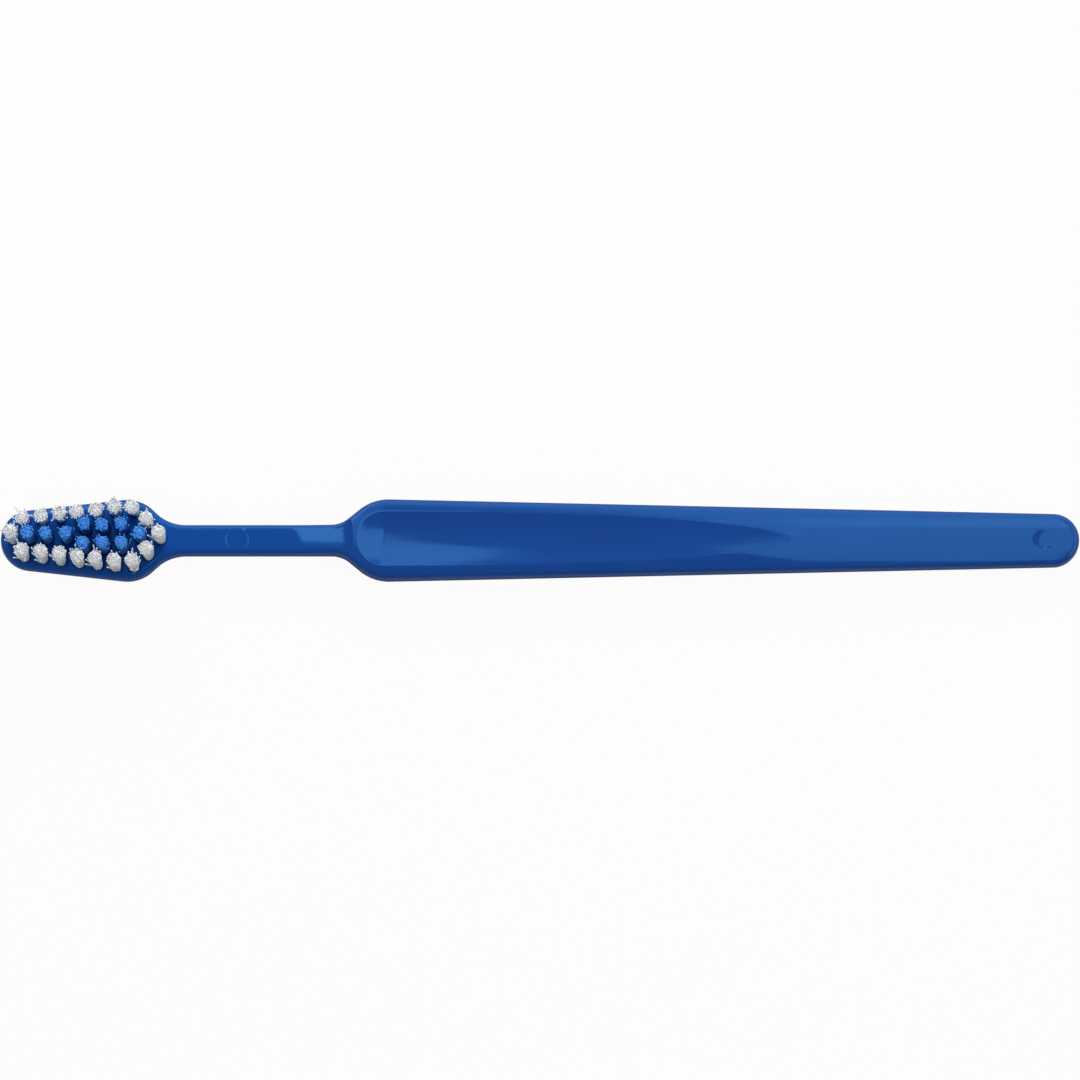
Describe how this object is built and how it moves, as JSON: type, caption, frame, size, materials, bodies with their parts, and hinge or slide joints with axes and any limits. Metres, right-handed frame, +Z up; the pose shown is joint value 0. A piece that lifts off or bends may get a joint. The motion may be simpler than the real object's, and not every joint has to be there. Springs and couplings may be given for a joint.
{
  "type": "manual toothbrush",
  "caption": "Straight manual toothbrush with a tapered small head, a slim neck, a dished thumb rest and bristle tufts anchored in the head.",
  "frame": {"origin": "centre of the flat back's box on the surface that the brush lies on, half way along the brush", "axes": "+X from the head to the end of the handle, +Y across it, +Z up through the bristles"},
  "size_m": [0.16, 0.012, 0.0142],
  "materials": {
    "handle_plastic": "smooth gloss injection moulding, deep blue",
    "white_bristle": "fine white nylon bristle, trimmed level",
    "blue_bristle": "fine bright blue nylon bristle, trimmed level",
    "anchor_metal": "flat wire, sheared ends"
  },
  "bodies": {
    "root": {"handle": "handle_plastic", "outer_tuft_01": "white_bristle", "outer_tuft_02": "white_bristle", "outer_tuft_03": "white_bristle", "outer_tuft_04": "white_bristle", "outer_tuft_05": "white_bristle", "outer_tuft_06": "white_bristle", "outer_tuft_07": "white_bristle", "outer_tuft_08": "white_bristle", "outer_tuft_09": "white_bristle", "outer_tuft_10": "white_bristle", "outer_tuft_11": "white_bristle", "outer_tuft_12": "white_bristle", "outer_tuft_13": "white_bristle", "outer_tuft_14": "white_bristle", "outer_tuft_15": "white_bristle", "outer_tuft_16": "white_bristle", "outer_tuft_17": "white_bristle", "outer_tuft_18": "white_bristle", "inner_tuft_01": "blue_bristle", "inner_tuft_02": "blue_bristle", "inner_tuft_03": "blue_bristle", "inner_tuft_04": "blue_bristle", "inner_tuft_05": "blue_bristle", "inner_tuft_06": "blue_bristle", "inner_tuft_07": "blue_bristle", "inner_tuft_08": "blue_bristle", "inner_tuft_09": "blue_bristle", "inner_tuft_10": "blue_bristle", "tuft_anchors": "anchor_metal"}
  },
  "joints": []
}
